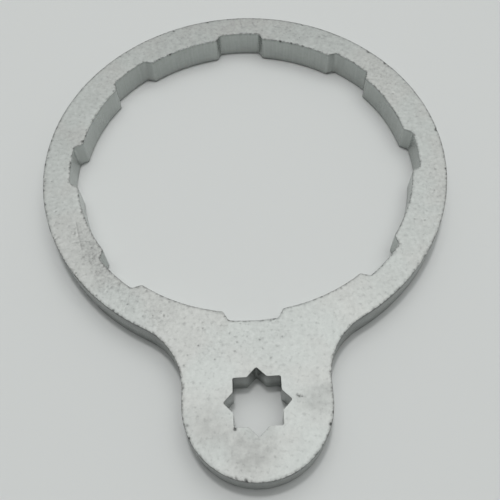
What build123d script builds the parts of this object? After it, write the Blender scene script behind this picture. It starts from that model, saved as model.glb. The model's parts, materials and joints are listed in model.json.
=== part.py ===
from build123d import *
import math
import os

# A flat ring wrench for screw-on filter caps, cut from one steel plate.
# The plate lies on its lower face, with the centre of the ring at the origin,
# the tab towards -Y and +Z upwards. All sizes are in millimetres.

# The plate, and the small bevel round each of its rims.
plate_thickness = 10.0
edge_break = 0.25

# The ring: its lands go round the cap, and its notches take the cap's ribs.
# The ring wall is the steel left behind the floor of a notch.
land_diameter = 108.0
ring_wall = 8.5
notch_count = 8
notch_depth = 2.5
notch_mouth_width = 17.0
notch_floor_width = 14.0
notch_floor_radius = 1.2
land_corner_radius = 1.0

# The tab: each side runs straight from its neck curve to the round end.
tab_width = 40.0
tab_side_length = 4.0
neck_radius = 20.0

# The drive hole, which takes a half-inch square driver in steps of 45 degrees.
driver_square = 12.7
driver_clearance = 0.2
drive_corner_radius = 0.5

# Radii of the ring.
land_radius = land_diameter / 2
notch_radius = land_radius + notch_depth
ring_radius = notch_radius + ring_wall

# A neck curve touches the ring's rim and the tab's side, so its centre lies
# one neck radius outside both. The drive hole is where the straight sides end.
neck_centre_x = tab_width / 2 + neck_radius
neck_centre_y = -math.sqrt((ring_radius + neck_radius) ** 2 - neck_centre_x**2)
drive_centre = (0, neck_centre_y - tab_side_length)
drive_square = driver_square + driver_clearance


def on_circle(half_width, radius):
    # The point of a circle that lies half_width to the right of its top.
    return Vector(half_width, math.sqrt(radius**2 - half_width**2))


def corners_at(sketch, distance):
    # The corners of a sketch that lie at one distance from the origin.
    return [v for v in sketch.vertices() if math.isclose(math.hypot(v.X, v.Y), distance, abs_tol=1e-4)]


def make_outline():
    # A disc and a round-ended tab, with a hollow curve in the corner on each side.
    disc = Circle(ring_radius)
    tab_body = Rectangle(tab_width, -drive_centre[1], align=(Align.CENTER, Align.MAX))
    tab_end = Pos(drive_centre) * Circle(tab_width / 2)
    outline = disc + tab_body + tab_end
    corner_y = -on_circle(tab_width / 2, ring_radius).Y
    neck_corners = [v for v in outline.vertices() if math.isclose(v.Y, corner_y, abs_tol=1e-4)]
    return fillet(neck_corners, neck_radius)


def make_notch():
    # One notch at the top of the ring: slanted sides and a floor that follows the ring.
    mouth = on_circle(notch_mouth_width / 2, land_radius)
    floor = on_circle(notch_floor_width / 2, notch_radius)
    mouth_left = Vector(-mouth.X, mouth.Y)
    floor_left = Vector(-floor.X, floor.Y)
    rim = [
        Line(mouth, floor),
        ThreePointArc(floor, (0, notch_radius), floor_left),
        Line(floor_left, mouth_left),
        Line(mouth_left, mouth),
    ]
    return make_face(Wire(rim))


def make_ring_hole():
    # The round hole of the ring, with the notches cut back behind its lands.
    hole = Circle(land_radius)
    for i in range(notch_count):
        hole += Rot(0, 0, i * 360 / notch_count) * make_notch()
    hole = fillet(corners_at(hole, notch_radius), notch_floor_radius)
    return fillet(corners_at(hole, land_radius), land_corner_radius)


def make_drive_hole():
    # Two squares turned 45 degrees to each other make an eight-pointed hole.
    square = Rectangle(drive_square, drive_square)
    star = square + Rot(0, 0, 45) * square
    return Pos(drive_centre) * fillet(star.vertices(), drive_corner_radius)


def make_wrench():
    # The outline less its two holes, raised to the plate's thickness, with its rims broken.
    profile = make_outline() - make_ring_hole() - make_drive_hole()
    plate = extrude(profile, plate_thickness)
    faces = plate.faces().sort_by(Axis.Z)
    return chamfer(faces[0].edges() + faces[-1].edges(), edge_break)


os.makedirs("parts", exist_ok=True)
export_step(make_wrench(), "parts/wrench_plate.step")
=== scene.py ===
"""Dresses a filter wrench: one steel plate with a notched ring, a tab and an eight-pointed drive hole.

The plate's walls are swept round its outline and its two holes, its flat faces are filled
between them, and its pits, nicks, scratches and cut marks are pressed into the mesh. The
mesh is made in millimetres and scaled to metres at the end.
"""

import json
import logging
import math
from collections.abc import Iterable, Sequence
from dataclasses import dataclass
from enum import Enum
from functools import partial, reduce
from typing import Any

import bmesh
import bpy
from mathutils import Matrix, Vector, geometry

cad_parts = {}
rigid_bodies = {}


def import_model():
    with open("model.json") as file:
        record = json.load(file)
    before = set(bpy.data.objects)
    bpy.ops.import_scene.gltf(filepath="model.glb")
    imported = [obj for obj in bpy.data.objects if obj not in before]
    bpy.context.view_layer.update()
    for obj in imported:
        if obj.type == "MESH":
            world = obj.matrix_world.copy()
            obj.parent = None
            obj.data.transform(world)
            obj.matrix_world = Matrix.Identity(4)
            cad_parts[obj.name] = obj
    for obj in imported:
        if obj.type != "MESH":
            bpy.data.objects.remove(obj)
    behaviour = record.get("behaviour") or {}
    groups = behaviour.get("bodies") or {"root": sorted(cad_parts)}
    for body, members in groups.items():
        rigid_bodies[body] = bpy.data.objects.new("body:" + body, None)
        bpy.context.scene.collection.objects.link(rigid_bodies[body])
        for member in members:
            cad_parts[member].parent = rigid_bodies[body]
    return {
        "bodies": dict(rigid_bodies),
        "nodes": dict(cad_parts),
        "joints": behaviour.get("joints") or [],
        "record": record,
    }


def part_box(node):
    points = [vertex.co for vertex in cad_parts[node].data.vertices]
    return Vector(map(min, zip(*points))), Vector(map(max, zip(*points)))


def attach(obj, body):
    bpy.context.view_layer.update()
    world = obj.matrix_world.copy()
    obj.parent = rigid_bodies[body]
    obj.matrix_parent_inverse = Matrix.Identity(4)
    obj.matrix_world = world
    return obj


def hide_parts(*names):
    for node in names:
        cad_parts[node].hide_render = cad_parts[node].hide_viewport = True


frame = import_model()

Socket = bpy.types.NodeSocket
Pair = tuple[float, float]
Triple = tuple[float, float, float]
Colour = tuple[float, float, float, float]

LOG = logging.getLogger("filter_wrench")
MM = 0.001
BODY = "root"
NODE = "wrench_plate"
NOISE_MIDDLE = 0.5
UPRIGHT = (1.0, 1.0, 0.05)


@dataclass(frozen=True)
class Cloud:
    """A cloudy pattern of numbers from 0 to 1, with features about 1 / scale across.

    It can be moved aside, so that two patterns don't match, and drawn out along an axis.
    """

    scale: float
    detail: float = 3.0
    aside: Triple = (0.0, 0.0, 0.0)
    squash: Triple = (1.0, 1.0, 1.0)


class NodeMaker:
    """Adds nodes to a tree one by one, so that a tree reads as a list of steps."""

    def __init__(self, tree: bpy.types.NodeTree) -> None:
        """Keeps the tree that the nodes go into."""
        self.tree = tree

    def add(self, kind: str, *values: Any, output: int | str = 0, **settings: Any) -> Socket:
        """Adds one node and wires it.

        Args:
            kind: The node's type.
            values: What goes into the sockets in use, in their order: a socket, a value or None.
            output: The place or the name of the output that is wanted.
            settings: The node's own properties.

        Returns:
            The output socket.
        """
        node = self.tree.nodes.new(kind)
        for name, value in settings.items():
            setattr(node, name, value)
        used = [socket for socket in node.inputs if socket.enabled]
        for socket, value in zip(used, values):
            if isinstance(value, Socket):
                self.tree.links.new(value, socket)
            elif value is not None:
                socket.default_value = value
        if isinstance(output, str):
            return node.outputs[output]
        return [socket for socket in node.outputs if socket.enabled][output]

    def math(self, operation: str, *values: Any) -> Socket:
        """One sum on numbers."""
        return self.add("ShaderNodeMath", *values, operation=operation)

    def vector(self, operation: str, *values: Any, output: int | str = 0) -> Socket:
        """One sum on vectors."""
        return self.add("ShaderNodeVectorMath", *values, operation=operation, output=output)

    def total(self, *parts: Any) -> Socket:
        """Several numbers added up."""
        return reduce(partial(self.math, "ADD"), parts)

    def product(self, *factors: Any) -> Socket:
        """Several numbers multiplied."""
        return reduce(partial(self.math, "MULTIPLY"), factors)

    def fade(self, value: Socket, start: float, end: float, first: Any = 1.0, last: Any = 0.0) -> Socket:
        """A soft step.

        Args:
            value: The number that drives it.
            start: Where the step begins.
            end: Where the step ends.
            first: What it gives up to the start, as a number or a socket.
            last: What it gives from the end on.

        Returns:
            The stepped number.
        """
        return self.add(
            "ShaderNodeMapRange", value, start, end, first, last, interpolation_type="SMOOTHSTEP"
        )

    def blend(self, share: Socket, first: float, last: float) -> Socket:
        """A soft change from one number to another, as a share goes from 0 to 1."""
        return self.fade(share, 0.0, 1.0, first, last)

    def noise(self, place: Socket, cloud: Cloud, output: int | str = 0) -> Socket:
        """What a cloudy pattern gives at a place."""
        spot = self.vector("MULTIPLY_ADD", place, cloud.squash, cloud.aside)
        return self.add("ShaderNodeTexNoise", spot, cloud.scale, cloud.detail, output=output)

    def wander(self, place: Socket, cloud: Cloud, reach: float) -> Socket:
        """Moves a place about, so that what is drawn there looks ragged.

        Args:
            place: The place.
            cloud: The pattern that moves it.
            reach: How far it moves each way at most.

        Returns:
            The moved place.
        """
        push = self.noise(place, cloud, output="Color")
        centred = self.vector("SUBTRACT", push, (NOISE_MIDDLE, NOISE_MIDDLE, NOISE_MIDDLE))
        return self.vector("ADD", place, self.vector("SCALE", centred, 2 * reach))


class GeometryTree(NodeMaker):
    """A Geometry Nodes tree with named inputs, which turns an object into a plain mesh."""

    def __init__(self, name: str, inputs: dict[str, str]) -> None:
        """Makes the empty tree and its sockets.

        Args:
            name: The tree's name.
            inputs: The kind of each named input that it has besides its geometry and material.
        """
        super().__init__(bpy.data.node_groups.new(name, "GeometryNodeTree"))
        sockets = {"Geometry": "Geometry", **inputs, "Material": "Material"}
        for label, kind in sockets.items():
            self.tree.interface.new_socket(label, in_out="INPUT", socket_type="NodeSocket" + kind)
        self.tree.interface.new_socket("Geometry", in_out="OUTPUT", socket_type="NodeSocketGeometry")
        self.given = self.tree.nodes.new("NodeGroupInput").outputs

    def shape_of(self, label: str) -> Socket:
        """The geometry of the object that a named input holds."""
        return self.add("GeometryNodeObjectInfo", self.given[label], output="Geometry")

    def position(self) -> Socket:
        """The place of each point."""
        return self.add("GeometryNodeInputPosition")

    def upward(self, vector: Socket) -> Socket:
        """The part of a vector that points up."""
        return self.add("ShaderNodeSeparateXYZ", vector, output="Z")

    def named(self, name: str) -> Socket:
        """A number that was kept on the mesh under a name."""
        return self.add("GeometryNodeInputNamedAttribute", name, data_type="FLOAT")

    def keep(self, shape: Socket, name: str, value: Any) -> Socket:
        """The geometry with a number kept on each of its points under a name."""
        return self.add("GeometryNodeStoreNamedAttribute", shape, None, name, value, data_type="FLOAT")

    def look_up(self, shape: Socket, value: Socket, index: Socket, kind: str = "FLOAT") -> Socket:
        """The value that one point of another geometry has."""
        return self.add("GeometryNodeSampleIndex", shape, value, index, data_type=kind)

    def nearest(self, label: str, place: Socket, name: str) -> tuple[Socket, Socket]:
        """Looks up the spot that is nearest to a place.

        Args:
            label: The named input that holds the spots, each with a reach.
            place: The place.
            name: The other number of the spot that is wanted.

        Returns:
            How far off the spot is, as a share of its reach, and its other number.
        """
        spots = self.shape_of(label)
        index = self.add("GeometryNodeSampleNearest", spots, place)
        centre = self.look_up(spots, self.position(), index, "FLOAT_VECTOR")
        gap = self.vector("DISTANCE", place, centre, output="Value")
        reach = self.look_up(spots, self.named("reach"), index)
        return self.math("DIVIDE", gap, reach), self.look_up(spots, self.named(name), index)

    def distance_to(self, label: str) -> Socket:
        """How far each point is from the edges of the object that a named input holds."""
        return self.add(
            "GeometryNodeProximity", self.shape_of(label), target_element="EDGES", output="Distance"
        )

    def join(self, shapes: Iterable[Socket]) -> Socket:
        """Joins geometries.

        Args:
            shapes: The geometries.

        Returns:
            All of them as one.
        """
        node = self.tree.nodes.new("GeometryNodeJoinGeometry")
        for shape in shapes:
            self.tree.links.new(shape, node.inputs[0])
        return node.outputs[0]

    def close(self, shape: Socket) -> None:
        """Ends the tree in a realized geometry with its material.

        Args:
            shape: What the tree has made.
        """
        realized = self.add("GeometryNodeRealizeInstances", shape)
        dressed = self.add("GeometryNodeSetMaterial", realized, None, self.given["Material"])
        end = self.tree.nodes.new("NodeGroupOutput")
        self.tree.links.new(dressed, end.inputs["Geometry"])

    def run(self, source: bpy.types.Object, values: dict[str, Any]) -> bpy.types.Mesh:
        """Evaluates the tree on an object.

        Args:
            source: The object, whose own mesh stays as it is.
            values: What goes into the named inputs.

        Returns:
            The result as a plain mesh.
        """
        modifier = source.modifiers.new(self.tree.name, "NODES")
        modifier.node_group = self.tree
        for item in self.tree.interface.items_tree:
            if item.in_out == "INPUT" and item.name in values:
                modifier[item.identifier] = values[item.name]
        evaluated = source.evaluated_get(bpy.context.evaluated_depsgraph_get())
        mesh = bpy.data.meshes.new_from_object(evaluated)
        source.modifiers.remove(modifier)
        return mesh


def new_object(name: str, mesh: bpy.types.Mesh) -> bpy.types.Object:
    """Puts a mesh into the scene.

    Args:
        name: The object's name.
        mesh: The mesh.

    Returns:
        The object that holds it.
    """
    made = bpy.data.objects.new(name, mesh)
    bpy.context.scene.collection.objects.link(made)
    return made


def points_object(
    name: str,
    points: Iterable[Sequence[float]],
    edges: Iterable[tuple[int, int]] = (),
    **numbers: list[float],
) -> bpy.types.Object:
    """Makes a helper object of points and edges for a tree to read.

    Args:
        name: The object's name.
        points: The points.
        edges: Pairs of places in the points.
        numbers: Named lists with one number for each point.

    Returns:
        The object.
    """
    mesh = bpy.data.meshes.new(name)
    mesh.from_pydata([tuple(point) for point in points], list(edges), [])
    for label, values in numbers.items():
        mesh.attributes.new(label, "FLOAT", "POINT").data.foreach_set("value", values)
    return new_object(name, mesh)


def discard(objects: Iterable[bpy.types.Object]) -> None:
    """Takes helper objects out of the file."""
    for made in objects:
        bpy.data.objects.remove(made)


def unit(angle: float) -> Vector:
    """The flat vector of length 1 at an angle from +X, in radians."""
    return Vector((math.cos(angle), math.sin(angle)))


def direction(vector: Vector) -> float:
    """A flat vector's angle from +X, in radians."""
    return math.atan2(vector.y, vector.x)


def arc(centre: Vector, radius: float, start: float, end: float, step: float) -> list[Vector]:
    """Points along an arc, without its last one.

    Args:
        centre: The arc's centre.
        radius: Its radius.
        start: The angle of its first point, in radians.
        end: The angle of its last point.
        step: The longest distance between points.

    Returns:
        The points.
    """
    count = max(2, math.ceil(abs(end - start) * radius / step))
    return [centre + radius * unit(start + (end - start) * i / count) for i in range(count)]


def line(start: Vector, end: Vector, step: float) -> list[Vector]:
    """Points along a straight line, without its last one."""
    count = max(1, math.ceil((end - start).length / step))
    return [start.lerp(end, i / count) for i in range(count)]


def crossing(start: Vector, along: Vector, radius: float) -> Vector:
    """Where a line that comes from outside first meets a circle about the origin."""
    half = start.dot(along)
    return start + along * (-half - math.sqrt(half**2 - start.length_squared + radius**2))


def whole_pitch(half: list[Vector]) -> list[Vector]:
    """A whole pitch from its second half and that half's mirror image, without its last point."""
    mirrored = [Vector((-point.x, point.y)) for point in reversed(half)]
    return mirrored[:-1] + half[:-1]


class Wear(Enum):
    """The kinds of mark that are listed one by one, each with its reach and its depth."""

    PIT = (0.32, 0.09)
    NICK = (0.60, 0.20)
    CHIP = (0.95, 0.18)
    SCRATCH = (0.20, 0.05)
    GOUGE = (0.15, 0.20)

    def __init__(self, reach: float, depth: float) -> None:
        """Names the two sizes of a kind, in millimetres."""
        self.reach = reach
        self.depth = depth


class Trace(Enum):
    """What the worn mesh keeps at each point for its finish, by the attribute's name."""

    DENT = "dent"
    RIM = "rim"
    GRIME = "grime"
    WALL = "wall"


class Side(Enum):
    """The flat faces, by the place of their rims in a wall's section."""

    UPPER = 0
    LOWER = -1


@dataclass(frozen=True)
class Dent:
    """One dent in the upper face or its rim."""

    x: float
    y: float
    reach: float
    depth: float

    def clears(self, other: "Dent") -> bool:
        """Whether it lies clear of another dent."""
        return math.hypot(self.x - other.x, self.y - other.y) > self.reach + other.reach


@dataclass(frozen=True)
class DarkPatch:
    """A patch of the upper face that is darker, more speckled and pitted, or both. Most are stains; the
    broad one over the far half of the ring is painted shade.
    """

    x: float
    y: float
    reach: float
    darkness: float
    pitting: float


SPOTS = {
    Wear.PIT: (
        (59.1, -9.5), (59.7, -11.5), (57.9, -15.8), (59.0, -16.4), (53.9, -17.6), (51.9, -22.7),
        (50.8, -26.5), (55.1, -23.6), (53.8, -27.1), (52.8, -37.1), (-5.4, -61.0), (-4.9, -62.6),
        (-3.2, -62.7), (-0.4, -64.5), (7.6, -61.6), (2.3, -61.8), (5.6, -56.5), (-10.3, -59.7),
        (-9.1, -57.3), (-3.8, -57.3), (-2.5, -65.0), (4.2, -67.5), (5.8, -64.1), (40.8, -41.6),
        (28.1, -46.0), (38.2, -50.2), (-16.1, -80.9), (-18.5, -65.5), (-19.1, -62.7),
        (-47.3, -30.6), (-45.2, -30.4), (-46.8, -33.3), (-43.9, -34.6), (-59.0, -21.5),
        (-59.4, -22.4), (-58.0, -26.9), (-55.7, -17.7), (22.2, 53.2), (21.5, 52.6), (22.9, 54.0),
        (19.2, 57.5), (16.0, 58.2), (21.2, 56.8), (16.7, 56.0), (20.4, 54.6),
        (18.1, 59.2), (13.2, 57.4),
    ),
    Wear.NICK: (
        (-64.0, 10.3), (-64.5, 6.6), (-64.8, 0.6), (64.2, -8.3), (52.9, 37.3), (-52.8, 12.0),
        (-56.6, 0.9), (-56.4, -0.7), (-25.4, 47.7), (-29.0, 45.5), (-8.5, 53.4),
        (14.9, 51.9), (22.9, 49.1), (5.5, 64.4), (-11.6, 63.6), (-24.3, 59.5), (23.9, 60.1),
        (19.0, 50.8), (-62.5, -17.8), (-63.2, -14.5), (-64.2, -9.2), (18.4, -85.9), (-3.9, -98.1),
        (-17.9, -87.3), (-6.2, -85.8),
    ),
    Wear.CHIP: (
        (-50.3, -20.2), (46.5, 44.7), (51.7, 38.7), (64.2, 7.5), (-53.7, 9.6),
    ),
}
LINES = {
    Wear.SCRATCH: (
        ((-52.7, -21.6), (-51.6, -26.0), (-50.0, -31.4)),
        ((-53.2, -28.8), (-49.5, -28.4), (-45.4, -29.3)),
        ((0.6, 63.9), (1.1, 61.0), (1.3, 59.2)),
        ((5.2, 62.6), (5.9, 60.4)),
        ((13.0, 60.2), (14.2, 59.4), (15.6, 59.3)),
        ((30.4, 54.6), (32.3, 53.2)),
    ),
    Wear.GOUGE: (
        ((10.3, -78.0), (11.8, -78.4)),
    ),
}
STAINS_AND_SHADE = (
    DarkPatch(-51.5, -25.0, 6.0, 0.02, 0.6),
    DarkPatch(-47.0, -31.5, 6.5, 0.07, 1.0),
    DarkPatch(-43.5, -36.0, 6.0, 0.07, 1.0),
    DarkPatch(-40.5, -42.0, 7.0, 0.05, 0.9),
    DarkPatch(-35.0, -47.5, 7.0, 0.03, 0.7),
    DarkPatch(-26.0, -53.5, 8.0, 0.02, 0.6),
    DarkPatch(-12.0, -61.0, 11.0, 0.0, 0.4),
    DarkPatch(3.0, -62.0, 10.0, 0.0, 0.3),
    DarkPatch(57.0, -16.0, 13.0, 0.0, 0.35),
    DarkPatch(51.0, -34.0, 9.0, 0.0, 0.2),
    DarkPatch(54.0, 28.0, 14.0, 0.0, 0.3),
    DarkPatch(48.5, 37.0, 9.0, 0.0, 0.5),
    DarkPatch(-60.0, 8.0, 12.0, 0.01, 0.2),
    DarkPatch(-1.0, -90.0, 10.0, 0.17, 0.0),
    DarkPatch(-4.0, -96.5, 7.0, 0.05, 0.0),
    DarkPatch(-10.5, -89.5, 7.0, 0.06, 0.0),
    DarkPatch(15.6, -78.8, 6.3, 0.16, 0.0),
    DarkPatch(-13.0, -84.0, 9.0, 0.09, 0.0),
    # This broad patch is painted shade: it darkens the far half of the ring, which lies in dimmer light.
    DarkPatch(0.0, 64.0, 66.0, 0.09, 0.0),
)


class Sieve:
    """Points of a flat face that keep their distance from each other."""

    def __init__(self, cell: float) -> None:
        """Makes an empty sieve.

        Args:
            cell: The size of the square cells that points are kept in. No gap may be wider.
        """
        self.cell = cell
        self.points: list[Vector] = []
        self.cells: dict[tuple[int, int], list[Vector]] = {}

    def home(self, point: Vector) -> tuple[int, int]:
        """The column and the row of a point's cell."""
        return math.floor(point.x / self.cell), math.floor(point.y / self.cell)

    def keep(self, point: Vector) -> None:
        """Keeps a point, however near the others are."""
        self.cells.setdefault(self.home(point), []).append(point)
        self.points.append(point)

    def offer(self, point: Vector, gap: float) -> None:
        """Keeps a point if no other one is too near.

        Args:
            point: The point.
            gap: The distance within which no other may lie.
        """
        column, row = self.home(point)
        near = [(column + i, row + j) for i in (-1, 0, 1) for j in (-1, 0, 1)]
        if all((point - other).length > gap for home in near for other in self.cells.get(home, ())):
            self.keep(point)


@dataclass(frozen=True)
class Loop:
    """A wall seen from above: a run of points, and how often it repeats clockwise round a centre."""

    name: str
    pitch: list[Vector]
    count: int
    centre: Vector
    rim_radius: float


@dataclass
class FilterWrench:
    """The plate: its sizes in millimetres, and how its walls and flat faces are made."""

    thickness: float
    ring_radius: float
    land_radius: float
    drive_centre: Vector
    # The notches in the ring, and the corners of the lands between them.
    notch_count: int = 8
    notch_depth: float = 2.5
    notch_mouth_width: float = 17.0
    notch_floor_width: float = 14.0
    notch_floor_radius: float = 1.2
    land_corner_radius: float = 1.0
    # The tab and the hollow curves where it joins the ring.
    tab_width: float = 40.0
    tab_side_length: float = 4.0
    neck_radius: float = 20.0
    # The drive hole.
    drive_points: int = 8
    drive_square: float = 12.9
    drive_corner_radius: float = 0.5
    # The broken edges, and how finely the mesh is divided.
    rim_radius: float = 0.25
    drive_rim_radius: float = 0.12
    rim_steps: int = 4
    wall_steps: int = 9
    rim_spacing: float = 0.38
    upper_spacing: float = 0.46
    lower_spacing: float = 0.95
    nearest_share: float = 0.6
    dent_gap: float = 0.14
    dent_rings: tuple[tuple[float, int], ...] = ((0.5, 6), (1.0, 9))
    fill_precision: float = 1e-6
    weld_distance: float = 0.002

    @classmethod
    def from_frame(cls, packed: dict[str, Any]) -> "FilterWrench":
        """Reads the plate's main sizes from the CAD model.


        Returns:
            The wrench.
        """
        low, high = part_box(NODE)
        mounts = {mount["name"]: mount for mount in packed["record"]["mounts"]}
        return cls(
            thickness=(high.z - low.z) / MM,
            ring_radius=high.x / MM,
            land_radius=mounts["cap_ring"]["dims"]["r_mm"],
            drive_centre=Vector(mounts["drive_socket"]["pos_m"][:2]) / MM,
        )

    @property
    def notch_radius(self) -> float:
        """The radius of the circle that the floors of the notches lie on."""
        return self.land_radius + self.notch_depth

    def outline(self) -> list[Vector]:
        """Traces the plate's outer edge.

        Returns:
            Its points, anticlockwise from the left end of the tab's round.
        """
        half = self.tab_width / 2
        neck_x = half + self.neck_radius
        neck_y = self.drive_centre.y + self.tab_side_length
        touch = math.atan2(-neck_y, -neck_x)
        right, left = Vector((neck_x, neck_y)), Vector((-neck_x, neck_y))
        step = self.rim_spacing
        return [
            *arc(self.drive_centre, half, math.pi, 2 * math.pi, step),
            *line(Vector((half, self.drive_centre.y)), Vector((half, neck_y)), step),
            *arc(right, self.neck_radius, math.pi, touch, step),
            *arc(Vector((0, 0)), self.ring_radius, touch - math.pi, 2 * math.pi - touch, step),
            *arc(left, self.neck_radius, math.pi - touch, 0, step),
            *line(Vector((-half, neck_y)), Vector((-half, self.drive_centre.y)), step),
        ]

    def half_notch(self) -> list[Vector]:
        """Traces half a pitch of the ring's hole.

        Returns:
            Its points, clockwise from a notch's middle to a land's middle.
        """
        step, origin = self.rim_spacing, Vector((0, 0))
        mouth_x, floor_x = self.notch_mouth_width / 2, self.notch_floor_width / 2
        mouth = Vector((mouth_x, math.sqrt(self.land_radius**2 - mouth_x**2)))
        floor = Vector((floor_x, math.sqrt(self.notch_radius**2 - floor_x**2)))
        side = (mouth - floor).normalized()
        across = Vector((-side.y, side.x))
        deep, proud = self.notch_floor_radius, self.land_corner_radius
        inner = crossing(floor - deep * across, side, self.notch_radius - deep)
        outer = crossing(floor + proud * across, side, self.land_radius + proud)
        slant = direction(across)
        land_middle = math.pi / 2 - math.pi / self.notch_count
        return [
            *arc(origin, self.notch_radius, math.pi / 2, direction(inner), step),
            *arc(inner, deep, direction(inner), slant, step),
            *line(inner + deep * across, outer - proud * across, step),
            *arc(outer, proud, slant + math.pi, direction(outer) + math.pi, step),
            *arc(origin, self.land_radius, direction(outer), land_middle, step),
            self.land_radius * unit(land_middle),
        ]

    def half_point(self) -> list[Vector]:
        """Traces half a pitch of the drive hole.

        Returns:
            Its points, clockwise from a point's tip to the valley beside it.
        """
        half, radius, centre = self.drive_square / 2, self.drive_corner_radius, self.drive_centre
        step = self.rim_spacing / 2
        tip = centre + Vector((0, math.sqrt(2) * (half - radius)))
        half_pitch = math.pi / self.drive_points
        bearing = math.pi / 2 - half_pitch
        valley = centre + (half + radius) / math.cos(half_pitch) * unit(bearing)
        slant = math.pi / 4
        across = unit(slant)
        return [
            *arc(tip, radius, math.pi / 2, slant, step),
            *line(tip + radius * across, valley - radius * across, self.rim_spacing),
            *arc(valley, radius, slant + math.pi, bearing + math.pi, step),
            valley - radius * unit(bearing),
        ]

    def loops(self) -> list[Loop]:
        """Traces all the walls.

        Returns:
            The outline, the ring's hole and the drive hole.
        """
        ring, drive = Vector((0, 0, 0)), self.drive_centre.to_3d()
        notch, point = whole_pitch(self.half_notch()), whole_pitch(self.half_point())
        return [
            Loop("outline", self.outline(), 1, ring, self.rim_radius),
            Loop("ring_hole", notch, self.notch_count, ring, self.rim_radius),
            Loop("drive_hole", point, self.drive_points, drive, self.drive_rim_radius),
        ]

    def wall_section(self, radius: float) -> list[Vector]:
        """Traces the section of a wall.

        Args:
            radius: The radius of its rims.

        Returns:
            Its points from the upper face down: how far each is set back from the edge, and its height.
        """
        top = self.thickness
        turns = [math.pi / 2 * i / self.rim_steps for i in range(self.rim_steps + 1)]
        rim = [Vector((radius * (1 - math.sin(a)), top - radius * (1 - math.cos(a)))) for a in turns]
        foot = [Vector((point.x, top - point.y)) for point in reversed(rim)]
        levels = [rim[-1].lerp(foot[0], i / self.wall_steps) for i in range(1, self.wall_steps)]
        return rim + levels + foot

    def sweep_tree(self) -> GeometryTree:
        """Builds the tree that repeats a pitch round a centre and sweeps the wall's section along it.

        Returns:
            The tree.
        """
        tree = GeometryTree(
            "wall_sweep", {"Count": "Int", "Step": "Float", "Centre": "Vector", "Section": "Object"}
        )
        pitch = tree.given["Geometry"]
        size = tree.add("GeometryNodeAttributeDomainSize", pitch, component="MESH", output="Point Count")
        ring = tree.add("GeometryNodeCurvePrimitiveCircle", tree.product(size, tree.given["Count"]))
        index = tree.add("GeometryNodeInputIndex")
        turn = tree.math("FLOOR", tree.math("DIVIDE", index, size))
        place = tree.look_up(pitch, tree.position(), tree.math("MODULO", index, size), "FLOAT_VECTOR")
        angle = tree.product(turn, tree.given["Step"])
        turned = tree.add(
            "ShaderNodeVectorRotate", place, tree.given["Centre"], angle, rotation_type="Z_AXIS"
        )
        path = tree.add("GeometryNodeSetPosition", ring, None, turned)
        level = tree.add("GeometryNodeSetCurveNormal", path, mode="Z_UP")
        section = tree.add("GeometryNodeMeshToCurve", tree.shape_of("Section"))
        tree.close(tree.add("GeometryNodeCurveToMesh", level, section))
        return tree

    def walls(self) -> list[bpy.types.Mesh]:
        """Sweeps the walls.

        Returns:
            The outer wall, the ring's wall and the drive hole's wall.
        """
        tree = self.sweep_tree()
        made = []
        for loop in self.loops():
            levels = self.wall_section(loop.rim_radius)
            steps = [(i, i + 1) for i in range(len(levels) - 1)]
            section = points_object("section", [(-p.x, -p.y, 0) for p in levels], steps)
            pitch = points_object(loop.name, [point.to_3d() for point in loop.pitch])
            values = {
                "Count": loop.count,
                "Step": -2 * math.pi / loop.count,
                "Centre": loop.centre,
                "Section": section,
            }
            made.append(tree.run(pitch, values))
            discard([pitch, section])
        return made

    def rim(self, wall: bpy.types.Mesh, level: int) -> list[Vector]:
        """Reads one loop of a wall's points.

        Args:
            wall: The wall.
            level: The loop's place in the section, from above, or from below if it is under 0.

        Returns:
            The points.
        """
        size = 2 * self.rim_steps + self.wall_steps + 1
        places = range(level % size, len(wall.vertices), size)
        return [wall.vertices[place].co.copy() for place in places]

    def spread(self, edge: Sequence[Vector], spacing: float, dents: Sequence[Dent]) -> list[Vector]:
        """Spreads points evenly over the face, and closer together at dents.

        Args:
            edge: The points of all the rims, which are kept as they are.
            spacing: The distance between points.
            dents: The dents that get points of their own.

        Returns:
            The points, with those of the rims first.
        """
        sieve = Sieve(spacing)
        for point in edge:
            sieve.keep(point)
        for dent in dents:
            centre = Vector((dent.x, dent.y))
            sieve.offer(centre, self.dent_gap)
            for share, count in self.dent_rings:
                for i in range(count):
                    around = unit(2 * math.pi * (i + share) / count)
                    sieve.offer(centre + share * dent.reach * around, self.dent_gap)
        row_height = spacing * math.sqrt(3) / 2
        low = Vector((min(p.x for p in edge), min(p.y for p in edge)))
        high = Vector((max(p.x for p in edge), max(p.y for p in edge)))
        for row in range(int((high.y - low.y) / row_height) + 1):
            shift = spacing / 2 * (row % 2)
            for column in range(int((high.x - low.x) / spacing) + 1):
                point = low + Vector((column * spacing + shift, row * row_height))
                sieve.offer(point, self.nearest_share * self.upper_spacing)
        return sieve.points

    def fill(
        self, loops: Sequence[list[Vector]], spacing: float, dents: Sequence[Dent]
    ) -> tuple[list[Vector], list[list[int]]]:
        """Fills the space between the rims with triangles.

        Args:
            loops: The outer rim, anticlockwise, and then the rims of the holes, clockwise.
            spacing: The distance between points.
            dents: The dents that get points of their own.

        Returns:
            The flat points and the triangles, anticlockwise.
        """
        edge = [point.to_2d() for loop in loops for point in loop]
        rings, start = [], 0
        for number, loop in enumerate(loops):
            ring = list(range(start, start + len(loop)))
            rings.append(ring if number == 0 else ring[::-1])
            start += len(loop)
        inside_only, name_owners = 1, True
        found = geometry.delaunay_2d_cdt(
            self.spread(edge, spacing, dents), [], rings, inside_only, self.fill_precision, name_owners
        )
        points, _, triangles, _, _, owners = found
        # A triangle that lies in a hole belongs to the hole's ring as well.
        return points, [tri for tri, owner in zip(triangles, owners) if owner == [0]]

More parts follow.
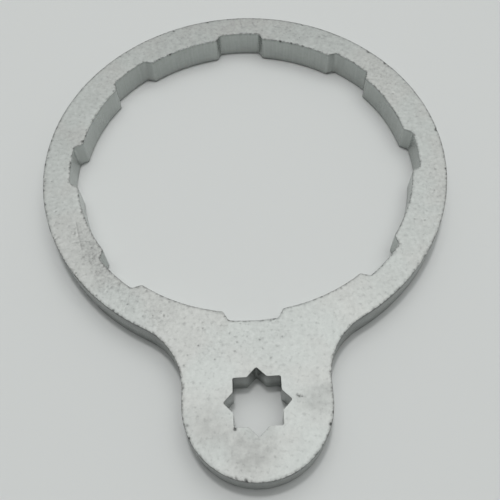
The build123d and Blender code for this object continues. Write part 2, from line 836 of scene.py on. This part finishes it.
    def face(self, walls: Sequence[bpy.types.Mesh], side: Side, dents: Sequence[Dent]) -> bpy.types.Mesh:
        """One of the two flat faces.

        Args:
            walls: The walls that it meets.
            side: Which face it is.
            dents: The dents in it.

        Returns:
            The face, which points away from the plate.
        """
        loops = [self.rim(wall, side.value) for wall in walls]
        spacing = self.upper_spacing if dents else self.lower_spacing
        points, triangles = self.fill(loops, spacing, dents)
        height = self.thickness if side is Side.UPPER else 0.0
        if side is Side.LOWER:
            triangles = [tri[::-1] for tri in triangles]
        mesh = bpy.data.meshes.new("face")
        mesh.from_pydata([(point.x, point.y, height) for point in points], [], triangles)
        return mesh

    def join(self, parts: Iterable[bpy.types.Mesh]) -> bpy.types.Mesh:
        """Joins the walls and the faces.

        Args:
            parts: Their meshes.

        Returns:
            One closed mesh.
        """
        work = bmesh.new()
        for part in parts:
            work.from_mesh(part)
        bmesh.ops.remove_doubles(work, verts=work.verts, dist=self.weld_distance)
        loose = [vertex for vertex in work.verts if not vertex.link_faces]
        bmesh.ops.delete(work, geom=loose, context="VERTS")
        open_edges = sum(not edge.is_manifold for edge in work.edges)
        LOG.info("plate joined with %d open edges", open_edges)
        mesh = bpy.data.meshes.new("plate")
        work.to_mesh(mesh)
        work.free()
        return mesh


@dataclass(frozen=True)
class Relief:
    """A pattern that is pressed in all over some part of the plate."""

    depth: float
    cloud: Cloud


@dataclass
class Weathering:
    """What casting, cutting and use did to the plate, in millimetres, and the shade painted on its walls
    and in its corners.
    """

    plate: FilterWrench
    seed: int = 5
    # The pits and chips that are scattered.
    pits_per_square: float = 0.11
    plain_share: float = 0.06
    pitting_fade: Pair = (0.2, 1.5)
    pit_reach: Pair = (0.18, 0.42)
    pit_depth: Pair = (0.02, 0.09)
    chip_gap: float = 1.1
    chip_share: float = 0.4
    chip_reach: Pair = (0.20, 0.55)
    chip_depth: Pair = (0.03, 0.10)
    # The least share of its kind's size that a listed mark has, and the step that
    # spreads their sizes evenly from there to the whole.
    smallest: float = 0.65
    evenly: float = 0.618
    # The shape of a dent, and the depth from which it is dark.
    bowl_fade: Pair = (0.3, 1.0)
    full_depth: float = 0.10
    fullest: float = 2.0
    ragged: Cloud = Cloud(1.8, 2.0)
    ragged_reach: float = 0.22
    # The patterns pressed into the walls, the rims and the faces, and where each of these lies.
    cuts: Relief = Relief(0.04, Cloud(1.1, squash=UPRIGHT))
    ripples: Relief = Relief(0.09, Cloud(0.45))
    waves: Relief = Relief(0.04, Cloud(0.07, 2.0))
    grain: Relief = Relief(0.02, Cloud(0.8))
    wall_tilt: Pair = (0.3, 0.8)
    face_tilt: Pair = (0.8, 0.99)
    rim_levels: tuple[int, int] = (1, -2)
    rim_reach: float = 0.55
    # The dirt and painted shade: in the corners of the ring and of the drive hole, and on the walls that
    # lie past the clean margin round the ring's hole, at one level low on them and a darker one at their
    # top.
    corner_fade: Pair = (0.1, 0.4)
    corner_grime_and_shade: Pair = (0.1, 1.4)
    outer_grime_and_shade: Pair = (0.95, 2.2)
    clean_margin: float = 1.0

    def scatter_tree(self) -> GeometryTree:
        """Builds the tree that scatters pits over the upper face and chips along its rims.

        Returns:
            The tree.
        """
        tree = GeometryTree(
            "wear_scatter", {"Stains": "Object", "Pit density": "Float", "Chip gap": "Float"}
        )
        face = tree.given["Geometry"]
        gap, pitting = tree.nearest("Stains", tree.position(), "pitting")
        share = tree.total(tree.product(tree.fade(gap, *self.pitting_fade), pitting), self.plain_share)
        density = tree.product(share, tree.given["Pit density"])
        pits = tree.add("GeometryNodeDistributePointsOnFaces", face, None, density, self.seed)
        faces_beside = tree.add("GeometryNodeInputMeshEdgeNeighbors")
        border = tree.add("FunctionNodeCompare", faces_beside, 1, data_type="INT", operation="EQUAL")
        rims = tree.add("GeometryNodeMeshToCurve", face, border)
        beads = tree.add("GeometryNodeCurveToPoints", rims, tree.given["Chip gap"], mode="LENGTH")
        left_out = tree.add(
            "FunctionNodeRandomValue", 1 - self.chip_share, None, self.seed + 1, data_type="BOOLEAN"
        )
        chips = tree.add("GeometryNodeDeleteGeometry", beads, left_out, domain="POINT")
        drift = self.chip_gap / 2
        shift = tree.add(
            "FunctionNodeRandomValue", (-drift, -drift, 0), (drift, drift, 0), None, self.seed + 2,
            data_type="FLOAT_VECTOR",
        )
        chips = tree.add("GeometryNodeSetPosition", chips, None, None, shift)
        shapes = [
            self.sized(tree, pits, self.pit_reach, self.pit_depth),
            self.sized(tree, chips, self.chip_reach, self.chip_depth),
        ]
        tree.close(tree.add("GeometryNodePointsToVertices", tree.join(shapes)))
        return tree

    def sized(self, tree: GeometryTree, points: Socket, reach: Pair, depth: Pair) -> Socket:
        """Gives each point a random reach and a random depth.

        Args:
            tree: The tree that they are in.
            points: The points.
            reach: The least and the most reach.
            depth: The least and the most depth.

        Returns:
            The points with their two numbers.
        """
        for seed, (name, limits) in enumerate((("reach", reach), ("depth", depth)), self.seed + 3):
            value = tree.add("FunctionNodeRandomValue", *limits, None, seed, data_type="FLOAT")
            points = tree.keep(points, name, value)
        return points

    def placed(self) -> list[Dent]:
        """Makes the listed marks.

        Returns:
            The dents of the single spots, and those that run together into lines.
        """
        made = []
        for kind, spots in SPOTS.items():
            for i, (x, y) in enumerate(spots):
                size = self.smallest + (1 - self.smallest) * (self.evenly * i % 1)
                made.append(Dent(x, y, size * kind.reach, size * kind.depth))
        for kind, lines in LINES.items():
            for points in lines:
                for start, end in zip(points, points[1:]):
                    path = line(Vector(start), Vector(end), kind.reach / 2)
                    made += [Dent(point.x, point.y, kind.reach, kind.depth) for point in path]
        return made

    def dents(self, face: bpy.types.Mesh) -> list[Dent]:
        """Makes all the dents.

        Args:
            face: The upper face, without dents.

        Returns:
            Those listed, and the scattered ones that keep clear of them and the drive hole.
        """
        placed = self.placed()
        stains = points_object(
            "stains",
            [(stain.x, stain.y, self.plate.thickness) for stain in STAINS_AND_SHADE],
            reach=[stain.reach for stain in STAINS_AND_SHADE],
            pitting=[stain.pitting for stain in STAINS_AND_SHADE],
        )
        blank = new_object("blank_face", face)
        values = {"Stains": stains, "Pit density": self.pits_per_square, "Chip gap": self.chip_gap}
        found = self.scatter_tree().run(blank, values)
        reach, depth = (found.attributes[name].data for name in ("reach", "depth"))
        scattered = [
            Dent(vertex.co.x, vertex.co.y, reach[i].value, depth[i].value)
            for i, vertex in enumerate(found.vertices)
        ]
        discard([stains, blank])
        hole = Dent(self.plate.drive_centre.x, self.plate.drive_centre.y, self.plate.drive_square, 0.0)
        return placed + [dent for dent in scattered if all(map(dent.clears, (hole, *placed)))]

    def reliefs(self) -> dict[str, Relief]:
        """The pressed patterns, by the name of the input that sets how deep each goes."""
        return {
            "Cut depth": self.cuts,
            "Ripple depth": self.ripples,
            "Wave depth": self.waves,
            "Grain depth": self.grain,
        }

    def press_tree(self) -> GeometryTree:
        """Builds the tree that presses every mark into the plate.

        Returns:
            The tree, which also keeps where the marks are for the plate's finish.
        """
        helpers = dict.fromkeys(("Dents", "Rims", "Corners"), "Object")
        depths = dict.fromkeys(self.reliefs(), "Float")
        tree = GeometryTree("wear_press", {**helpers, **depths, "Clean reach": "Float"})
        place, normal = tree.position(), tree.add("GeometryNodeInputNormal")
        tilt = tree.math("ABSOLUTE", tree.upward(normal))
        wall = tree.fade(tilt, *self.wall_tilt)
        face = tree.fade(tilt, *self.face_tilt, 0.0, 1.0)
        rim = tree.fade(tree.distance_to("Rims"), 0.0, self.rim_reach)

        ragged = tree.wander(place, self.ragged, self.ragged_reach)
        gap, depth = tree.nearest("Dents", ragged, "depth")
        bowl = tree.fade(gap, *self.bowl_fade)
        fullness = tree.math("MINIMUM", tree.math("DIVIDE", depth, self.full_depth), self.fullest)

        where = {"Cut depth": wall, "Ripple depth": rim, "Wave depth": face, "Grain depth": face}
        sunk = [tree.product(bowl, depth)]
        for label, relief in self.reliefs().items():
            sunk.append(tree.product(tree.noise(place, relief.cloud), where[label], tree.given[label]))
        traces = {
            Trace.DENT: tree.product(bowl, fullness),
            Trace.RIM: rim,
            # Dirt and painted shade, kept for the finish to darken the walls by.
            Trace.GRIME: self.grime(tree, place, wall),
            Trace.WALL: wall,
        }
        plate = tree.given["Geometry"]
        for trace, value in traces.items():
            plate = tree.keep(plate, trace.value, value)
        offset = tree.vector("SCALE", normal, tree.product(tree.total(*sunk), -1.0))
        tree.close(tree.add("GeometryNodeSetPosition", plate, None, None, offset))
        return tree

    def grime(self, tree: GeometryTree, place: Socket, wall: Socket) -> Socket:
        """Finds where dirt and painted shade darken the walls: in the corners, and on the walls outside the
        ring's hole, most near their top.

        Args:
            tree: The press tree.
            place: The place of each point.
            wall: Whether the point lies on a wall.

        Returns:
            How much darker dirt and painted shade make the point.
        """
        fold = tree.fade(tree.distance_to("Corners"), *self.corner_fade)
        level = tree.vector("MULTIPLY", place, (1.0, 1.0, 0.0))
        across = tree.vector("LENGTH", level, output="Value")
        beyond = tree.math("GREATER_THAN", across, tree.given["Clean reach"])
        thickness = self.plate.thickness
        shaded = tree.fade(tree.upward(place), thickness / 2, thickness, *self.outer_grime_and_shade)
        folded = tree.product(fold, tree.blend(beyond, *self.corner_grime_and_shade))
        return tree.product(tree.total(folded, tree.product(beyond, shaded)), wall)

    def rims_object(self, walls: Iterable[bpy.types.Mesh]) -> bpy.types.Object:
        """Draws the upper and lower rims of some walls.

        Args:
            walls: The walls.

        Returns:
            An object of edges.
        """
        points, edges = [], []
        for wall in walls:
            for level in self.rim_levels:
                loop = self.plate.rim(wall, level)
                first, count = len(points), len(loop)
                points += loop
                edges += [(first + i, first + (i + 1) % count) for i in range(count)]
        return points_object("rims", points, edges)

    def corners_object(self) -> bpy.types.Object:
        """Draws the upright corners where grime and painted shade are put.

        Returns:
            An object with an edge on each side of each notch floor and in each drive point.
        """
        plate = self.plate
        half_angle = math.asin(plate.notch_floor_width / 2 / plate.notch_radius)
        drive_reach = plate.drive_square / math.sqrt(2)
        flat = []
        for i in range(plate.notch_count):
            middle = 2 * math.pi * i / plate.notch_count
            flat += [plate.notch_radius * unit(middle + turn) for turn in (-half_angle, half_angle)]
        for i in range(plate.drive_points):
            flat.append(plate.drive_centre + drive_reach * unit(2 * math.pi * i / plate.drive_points))
        points = [(p.x, p.y, height) for p in flat for height in (0.0, plate.thickness)]
        return points_object("corners", points, [(i, i + 1) for i in range(0, len(points), 2)])

    def press(
        self,
        plate: bpy.types.Mesh,
        worn_walls: Iterable[bpy.types.Mesh],
        dents: Sequence[Dent],
        material: bpy.types.Material,
    ) -> bpy.types.Mesh:
        """Presses the marks into the plate.

        Args:
            plate: The closed plate.
            worn_walls: The walls whose rims are worn.
            dents: The dents.
            material: The plate's finish.

        Returns:
            The worn plate as a plain mesh, in millimetres.
        """
        source = new_object("plate", plate)
        helpers = {
            "Dents": points_object(
                "dents",
                [(dent.x, dent.y, self.plate.thickness) for dent in dents],
                reach=[dent.reach for dent in dents],
                depth=[dent.depth for dent in dents],
            ),
            "Rims": self.rims_object(worn_walls),
            "Corners": self.corners_object(),
        }
        values = {
            **helpers,
            **{label: relief.depth for label, relief in self.reliefs().items()},
            "Clean reach": self.plate.notch_radius + self.clean_margin,
            "Material": material,
        }
        worn = self.press_tree().run(source, values)
        discard([source, *helpers.values()])
        return worn


@dataclass(frozen=True)
class Coat:
    """What the finish knows of each point: its place in millimetres, and numbers from 0 up."""

    place: Socket
    grain: Socket
    calm: Socket
    stain_and_shade: Socket
    speckled: Socket
    dent: Socket
    rim: Socket
    grime: Socket
    wall: Socket


@dataclass(frozen=True)
class ZincFinish:
    """A dull zinc coat: grey with a fine grain and dark flecks, darker at stains and pits, with painted
    shade on the walls, in the corners and over the far half of the ring.
    """

    name: str = "dull_zinc"
    # The coat as a whole.
    cool: Colour = (0.479, 0.491, 0.480, 1.0)
    warm: Colour = (0.486, 0.489, 0.477, 1.0)
    drift: Cloud = Cloud(0.06, 2.0)
    drift_fade: Pair = (0.40, 0.60)
    roughness: float = 0.65
    roughness_spread: float = 0.10
    bump_strength: float = 0.5
    bump_height: float = 0.00003
    # The walls.
    wall_tone: Colour = (0.459, 0.485, 0.467, 1.0)
    wall_roughness: float = 0.25
    wall_calm: float = 0.65
    wall_metal: float = 0.7
    streaks: Cloud = Cloud(1.6, squash=UPRIGHT)
    streak_darkness: float = 0.26
    # The patterns of the flat faces.
    grain: Cloud = Cloud(0.95)
    grain_darkness: float = 0.50
    pores: Cloud = Cloud(5.0, 2.0)
    pore_height: float = 0.4
    mottle: Cloud = Cloud(0.12, 4.0)
    mottle_darkness: float = 0.14
    speckle: Cloud = Cloud(1.3, 4.0, (7.0, 5.0, 0.0))
    speckle_fade: Pair = (0.40, 0.68)
    speckle_darkness: float = 0.17
    flecks: Cloud = Cloud(0.9, aside=(31.0, 17.0, 0.0))
    fleck_fade: Pair = (0.55, 0.71)
    fleck_darkness: float = 0.15
    fleck_lift: float = 0.05
    # Dents, dirt with painted shade, worn rims, and stains with one broad patch of painted shade, which the
    # stain settings below shape too.
    dent_darkness: float = 0.36
    grime_and_shade_darkness: float = 0.24
    rim_blotches: Cloud = Cloud(1.1)
    rim_fade: Pair = (0.42, 0.62)
    rim_darkness: Pair = (0.12, 0.50)
    stain_ragged: Cloud = Cloud(0.25, 2.0)
    stain_wander: float = 3.5
    stain_core: float = 0.2
    stain_blotches: Cloud = Cloud(0.4, 4.0)
    stain_fade: Pair = (0.35, 0.65)
    stain_strength: Pair = (0.7, 1.3)

    def make(self, upper_height: float) -> bpy.types.Material:
        """Builds the material.

        Args:
            upper_height: The height of the upper face in millimetres, where the stains and the patch of
                painted shade lie.

        Returns:
            The material.
        """
        material = bpy.data.materials.new(self.name)
        material.use_nodes = True
        nodes = NodeMaker(material.node_tree)
        coat = self.coat(nodes, upper_height)
        pores = nodes.product(nodes.noise(coat.place, self.pores), self.pore_height)
        varied = nodes.product(nodes.math("SUBTRACT", coat.grain, NOISE_MIDDLE), self.roughness_spread)
        level = nodes.blend(coat.wall, self.roughness, self.wall_roughness)
        relief = nodes.total(coat.grain, pores)
        values = {
            "Base Color": self.tone(nodes, coat),
            "Metallic": nodes.blend(coat.wall, 1.0, self.wall_metal),
            "Roughness": nodes.total(nodes.product(varied, coat.calm), level),
            "Normal": nodes.add("ShaderNodeBump", self.bump_strength, self.bump_height, None, relief),
        }
        shader = material.node_tree.nodes["Principled BSDF"]
        for label, value in values.items():
            material.node_tree.links.new(value, shader.inputs[label])
        return material

    def coat(self, nodes: NodeMaker, height: float) -> Coat:
        """Reads what the mesh, the stains and the painted shade say of each point.

        Args:
            nodes: The material's nodes.
            height: The height of the upper face in millimetres.

        Returns:
            What the finish knows of the point.
        """
        place = nodes.vector("SCALE", nodes.add("ShaderNodeTexCoord", output="Object"), 1 / MM)
        traces = {
            trace: nodes.add("ShaderNodeAttribute", attribute_name=trace.value, output="Fac")
            for trace in Trace
        }
        stain_and_shade, speckled = self.stains(nodes, place, height)
        return Coat(
            place=place,
            grain=nodes.noise(place, self.grain),
            calm=nodes.blend(traces[Trace.WALL], 1.0, 1.0 - self.wall_calm),
            stain_and_shade=stain_and_shade,
            speckled=speckled,
            dent=traces[Trace.DENT],
            rim=traces[Trace.RIM],
            grime=traces[Trace.GRIME],
            wall=traces[Trace.WALL],
        )

    def stains(self, nodes: NodeMaker, place: Socket, height: float) -> tuple[Socket, Socket]:
        """Works out what the stains and the patch of painted shade do to each point.

        Args:
            nodes: The material's nodes.
            place: The point, in millimetres.
            height: The height of the stained face.

        Returns:
            How much darker they make it, and how much more speckled, both from 0 to 1.
        """
        ragged = nodes.wander(place, self.stain_ragged, self.stain_wander)
        dark, speckled = [], []
        for stain in STAINS_AND_SHADE:
            gap = nodes.vector("DISTANCE", ragged, (stain.x, stain.y, height), output="Value")
            near = nodes.fade(gap, self.stain_core * stain.reach, stain.reach)
            if stain.darkness:
                dark.append(nodes.product(near, stain.darkness))
            if stain.pitting:
                speckled.append(nodes.product(near, stain.pitting))
        blotch = nodes.fade(
            nodes.noise(place, self.stain_blotches), *self.stain_fade, *self.stain_strength
        )
        capped = nodes.math("MINIMUM", nodes.total(*speckled), 1.0)
        return nodes.product(nodes.total(*dark), blotch), capped

    def tone(self, nodes: NodeMaker, coat: Coat) -> Socket:
        """Works out the colour of each point.

        Args:
            nodes: The material's nodes.
            coat: What is known of the point.

        Returns:
            The colour.
        """
        place, wall = coat.place, coat.wall
        grey = nodes.product(nodes.math("SUBTRACT", NOISE_MIDDLE, coat.grain), self.grain_darkness)
        lifted = nodes.total(nodes.noise(place, self.flecks), nodes.product(coat.speckled, self.fleck_lift))
        fleck = nodes.product(nodes.fade(lifted, *self.fleck_fade, 0.0, 1.0), self.fleck_darkness)
        speckle = nodes.fade(nodes.noise(place, self.speckle), *self.speckle_fade, 0.0, 1.0)
        mottle = nodes.math("SUBTRACT", NOISE_MIDDLE, nodes.noise(place, self.mottle))
        streaks = nodes.math("SUBTRACT", NOISE_MIDDLE, nodes.noise(place, self.streaks))
        worn = nodes.fade(nodes.noise(place, self.rim_blotches), *self.rim_fade, *self.rim_darkness)
        darkness = nodes.total(
            nodes.product(nodes.total(grey, fleck), coat.calm),
            nodes.product(speckle, coat.speckled, self.speckle_darkness),
            nodes.product(mottle, self.mottle_darkness),
            # The stains, and the painted shade over the far half of the ring.
            nodes.product(coat.stain_and_shade, nodes.blend(wall, 1.0, 0.0)),
            nodes.product(coat.dent, self.dent_darkness),
            nodes.product(coat.rim, worn),
            # Dirt and painted shade on the walls and in the corners.
            nodes.product(coat.grime, self.grime_and_shade_darkness),
            nodes.product(wall, streaks, self.streak_darkness),
        )
        drift = nodes.fade(nodes.noise(place, self.drift), *self.drift_fade)
        face = nodes.add("ShaderNodeMix", drift, self.cool, self.warm, data_type="RGBA")
        tint = nodes.add("ShaderNodeMix", wall, face, self.wall_tone, data_type="RGBA")
        return nodes.vector("SCALE", tint, nodes.math("SUBTRACT", 1.0, darkness))


@dataclass
class Studio:
    """The floor, the lights and the camera, which looks at the plate as the photograph does."""

    floor_tone: Colour = (0.640, 0.646, 0.643, 1.0)
    floor_roughness: float = 0.9
    floor_gloss: float = 0.1
    floor_size: float = 6.0
    floor_gap: float = 0.00002
    # The room, its bright patch overhead and the main lamp.
    sky_tone: Colour = (0.97, 1.0, 0.985, 1.0)
    room_from: Vector = Vector((0.35, 0.94, 0.0))
    room_fade: Pair = (-0.8, 0.8)
    room_light: Pair = (0.13, 0.35)
    overhead: float = 2.8
    overhead_from: Vector = Vector((0.09, 0.20, 1.0))
    overhead_fade: Pair = (0.80, 1.0)
    key_from: Vector = Vector((-0.02, 0.084, 1.0))
    key_distance: float = 1.0
    key_size: float = 0.08
    key_power: float = 2.3
    # The camera, as worked out from the plate's outline in the photograph.
    camera_place: Vector = Vector((-0.00022, -0.1258, 0.18133))
    camera_turn: Triple = (0.55863, 0.00325, -0.05695)
    lens: float = 46.883
    shift: Pair = (-0.03, -0.09)
    nearest_seen: float = 0.01

    def floor(self) -> None:
        """Lays a pale floor just under the plate."""
        half, level = self.floor_size / 2, -self.floor_gap
        corners = [(-half, -half, level), (half, -half, level), (half, half, level), (-half, half, level)]
        mesh = bpy.data.meshes.new("floor")
        mesh.from_pydata(corners, [], [(0, 1, 2, 3)])
        material = bpy.data.materials.new("pale_floor")
        material.use_nodes = True
        shader = material.node_tree.nodes["Principled BSDF"]
        shader.inputs["Base Color"].default_value = self.floor_tone
        shader.inputs["Roughness"].default_value = self.floor_roughness
        shader.inputs["Specular IOR Level"].default_value = self.floor_gloss
        mesh.materials.append(material)
        new_object("floor", mesh)

    def sky(self) -> None:
        """Lights the room softly all round, and strongly from a wide patch overhead."""
        world = bpy.data.worlds.new("soft_room")
        world.use_nodes = True
        bpy.context.scene.world = world
        nodes = NodeMaker(world.node_tree)
        bearing = nodes.add("ShaderNodeTexCoord", output="Generated")
        above = nodes.vector("DOT_PRODUCT", bearing, self.overhead_from.normalized(), output="Value")
        side = nodes.vector("DOT_PRODUCT", bearing, self.room_from.normalized(), output="Value")
        room = nodes.fade(side, *self.room_fade, *self.room_light)
        strength = nodes.fade(above, *self.overhead_fade, room, self.overhead)
        background = world.node_tree.nodes["Background"]
        background.inputs["Color"].default_value = self.sky_tone
        world.node_tree.links.new(strength, background.inputs["Strength"])

    def key(self) -> None:
        """Hangs the main lamp above the far side of the plate."""
        lamp = bpy.data.lights.new("key", "AREA")
        lamp.shape = "DISK"
        lamp.size = self.key_size
        lamp.energy = self.key_power
        made = bpy.data.objects.new("key", lamp)
        made.location = self.key_from.normalized() * self.key_distance
        made.rotation_euler = self.key_from.to_track_quat("Z", "Y").to_euler()
        bpy.context.scene.collection.objects.link(made)

    def camera(self) -> None:
        """Sets the camera where the photograph was taken from."""
        view = bpy.data.cameras.new("camera")
        view.lens = self.lens
        view.shift_x, view.shift_y = self.shift
        view.clip_start = self.nearest_seen
        made = bpy.data.objects.new("camera", view)
        made.location = self.camera_place
        made.rotation_euler = self.camera_turn
        bpy.context.scene.collection.objects.link(made)
        bpy.context.scene.camera = made

    def build(self) -> None:
        """Builds the whole studio."""
        self.floor()
        self.sky()
        self.key()
        self.camera()
        bpy.context.scene.view_settings.view_transform = "Standard"


def main() -> None:
    """Builds the wrench and its studio."""
    logging.basicConfig(level=logging.INFO, format="%(name)s: %(message)s")
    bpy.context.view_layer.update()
    wrench = FilterWrench.from_frame(frame)
    wear = Weathering(wrench)
    finish = ZincFinish().make(wrench.thickness)

    walls = wrench.walls()
    outer_wall, ring_wall, _ = walls
    dents = wear.dents(wrench.face(walls, Side.UPPER, ()))
    upper, lower = wrench.face(walls, Side.UPPER, dents), wrench.face(walls, Side.LOWER, ())
    plate = wrench.join([*walls, upper, lower])
    mesh = wear.press(plate, (outer_wall, ring_wall), dents, finish)
    mesh.transform(Matrix.Scale(MM, 4))
    mesh.shade_smooth()

    piece = new_object("wrench_body", mesh)
    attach(piece, BODY)
    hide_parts(NODE)
    mesh.calc_loop_triangles()
    LOG.info("%s: %d triangles, %d dents", piece.name, len(mesh.loop_triangles), len(dents))

    Studio().build()


if __name__ == "__main__":
    main()
